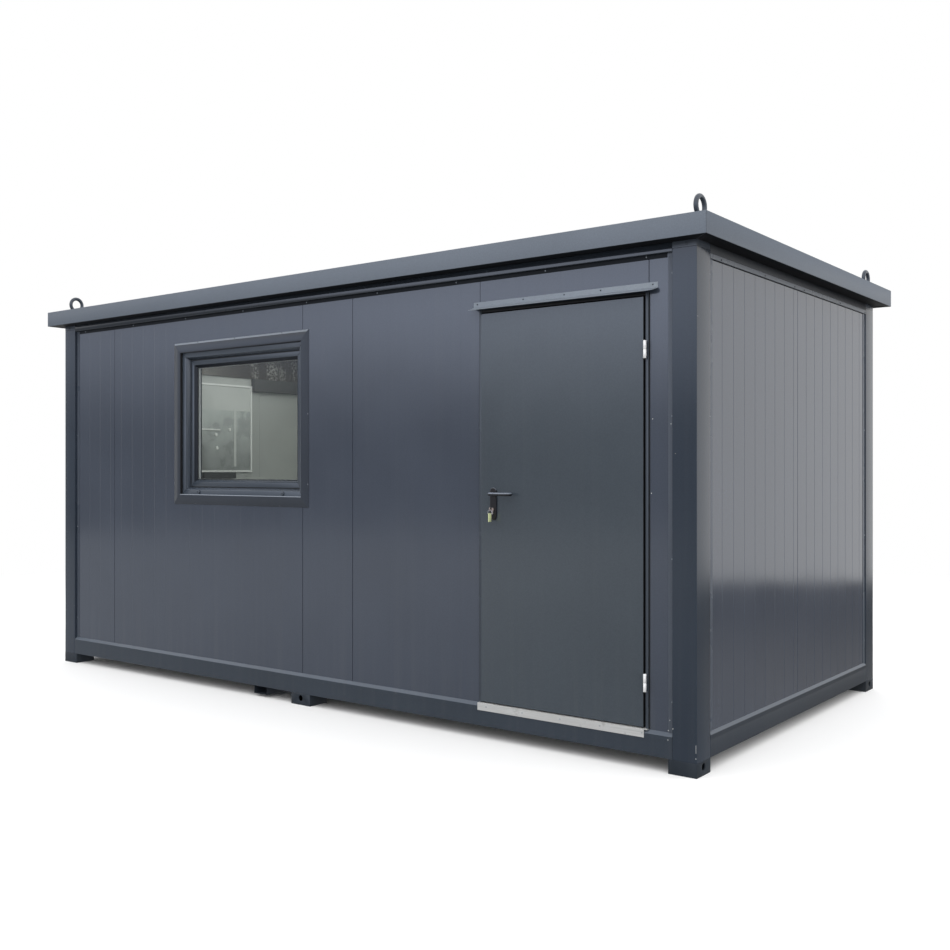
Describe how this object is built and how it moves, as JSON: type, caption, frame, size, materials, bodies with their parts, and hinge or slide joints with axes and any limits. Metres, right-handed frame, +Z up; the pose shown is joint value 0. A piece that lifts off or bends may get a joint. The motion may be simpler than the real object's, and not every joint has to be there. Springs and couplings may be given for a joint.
{
  "type": "portable site cabin",
  "caption": "Flat-roofed steel-framed site cabin with sandwich-panel walls, a window, a hinged door, lifting eyes and feet.",
  "frame": {"origin": "on the ground under the middle of the roof outline", "axes": "+X along the front wall to the right as seen from outside, front wall with door and window faces -Y, +Z up"},
  "size_m": [5.07, 2.66, 2.6015],
  "materials": {
    "frame_paint": "satin anthracite paint on steel",
    "fascia_paint": "satin anthracite paint on folded sheet",
    "wall_paint": "satin anthracite coated sandwich panel with fine grooves",
    "trim_paint": "satin anthracite folded sheet",
    "door_paint": "satin anthracite powder coat",
    "roof_sheet": "weathered ribbed sheet",
    "eye_paint": "anthracite paint on round bar",
    "floor_board": "coated floor board",
    "inside_lining": "matt light grey lining",
    "window_plastic": "grained anthracite foil on plastic profile",
    "window_glass": "clear double glazing",
    "threshold_metal": "brushed mill finish",
    "handle_plastic": "black moulded plastic over steel core",
    "lock_brass": "satin",
    "hinge_zinc": "bright zinc plate",
    "key_metal": "nickel plate, with a pale plastic tag"
  },
  "bodies": {
    "cabin": {"corner_post_front_left": "frame_paint", "corner_post_front_right": "frame_paint", "corner_post_rear_left": "frame_paint", "corner_post_rear_right": "frame_paint", "corner_feet": "frame_paint", "mid_feet": "frame_paint", "base_rail_front": "frame_paint", "base_rail_rear": "frame_paint", "base_rail_left": "frame_paint", "base_rail_right": "frame_paint", "floor": "floor_board", "floor_beams": "frame_paint", "underfloor_tube": "frame_paint", "ceiling": "inside_lining", "top_rails": "frame_paint", "fascia_front": "fascia_paint", "fascia_rear": "fascia_paint", "fascia_left": "fascia_paint", "fascia_right": "fascia_paint", "roof_deck": "roof_sheet", "lifting_eye_front_left": "eye_paint", "lifting_eye_front_right": "eye_paint", "lifting_eye_rear_left": "eye_paint", "lifting_eye_rear_right": "eye_paint", "front_wall_left": "wall_paint", "front_wall_under_window": "wall_paint", "front_wall_over_window": "wall_paint", "front_wall_middle": "wall_paint", "front_wall_over_door": "wall_paint", "front_wall_right": "wall_paint", "rear_wall": "wall_paint", "left_wall": "wall_paint", "right_wall": "wall_paint", "cover_strips": "trim_paint", "window_trim": "trim_paint", "window_frame": "window_plastic", "window_sash": "window_plastic", "window_glass": "window_glass", "door_frame": "door_paint", "threshold": "threshold_metal", "frame_hinges": "hinge_zinc", "rain_cap": "trim_paint"},
    "door": {"door_leaf": "door_paint", "handle_plates": "handle_plastic", "lock_cylinder": "lock_brass", "leaf_hinges": "hinge_zinc", "keys": "key_metal"},
    "lever": {"lever_handle": "handle_plastic"}
  },
  "joints": [
    {"name": "door_swing", "type": "hinge", "parent": "cabin", "child": "door", "pos_m": [2.194, -1.247, 0], "axis": [0, 0, 1], "range_deg": [0, 115]},
    {"name": "lever_turn", "type": "hinge", "parent": "door", "child": "lever", "pos_m": [1.332, -1.235, 1.242], "axis": [0, 1, 0], "range_deg": [0, 40], "stiffness_Nm_per_rad": 1.5, "springref_deg": -20.05}
  ]
}
